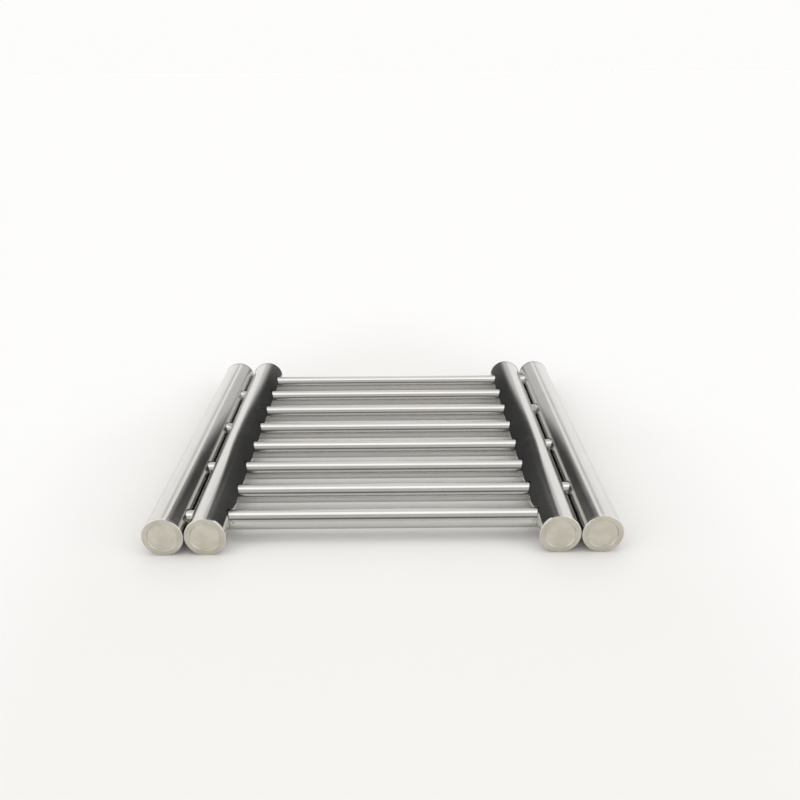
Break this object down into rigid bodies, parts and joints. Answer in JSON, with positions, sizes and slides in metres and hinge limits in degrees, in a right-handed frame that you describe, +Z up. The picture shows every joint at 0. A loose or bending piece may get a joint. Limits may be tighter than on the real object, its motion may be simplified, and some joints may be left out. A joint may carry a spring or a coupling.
{
  "type": "trivet",
  "caption": "Extending kitchen trivet of stainless tube: interleaved frames of thick rails and thin crossbars slide apart to widen it.",
  "frame": {"origin": "on the table, under the middle of the closed trivet", "axes": "+X the way the sliding frame moves to widen it, +Y along the rails from the front to the back, +Z up"},
  "size_m": [0.2232, 0.2094, 0.0194],
  "materials": {
    "rail_steel": "satin, brushed along the tube",
    "crossbar_steel": "polished, with faint marks along the tube",
    "cap_steel": "fine matte face with a turned bright rim"
  },
  "bodies": {
    "left_frame": {"rail_outer_left": "rail_steel", "rail_inner_right": "rail_steel", "cap_outer_left_front": "cap_steel", "cap_outer_left_back": "cap_steel", "cap_inner_right_front": "cap_steel", "cap_inner_right_back": "cap_steel", "crossbar_1": "crossbar_steel", "crossbar_3": "crossbar_steel", "crossbar_5": "crossbar_steel", "crossbar_7": "crossbar_steel"},
    "right_frame": {"rail_outer_right": "rail_steel", "rail_inner_left": "rail_steel", "cap_outer_right_front": "cap_steel", "cap_outer_right_back": "cap_steel", "cap_inner_left_front": "cap_steel", "cap_inner_left_back": "cap_steel", "crossbar_2": "crossbar_steel", "crossbar_4": "crossbar_steel", "crossbar_6": "crossbar_steel", "crossbar_8": "crossbar_steel"}
  },
  "joints": [
    {"name": "widen_slide", "type": "slide", "parent": "left_frame", "child": "right_frame", "axis": [1, 0, 0], "range_m": [0, 0.1446]}
  ]
}
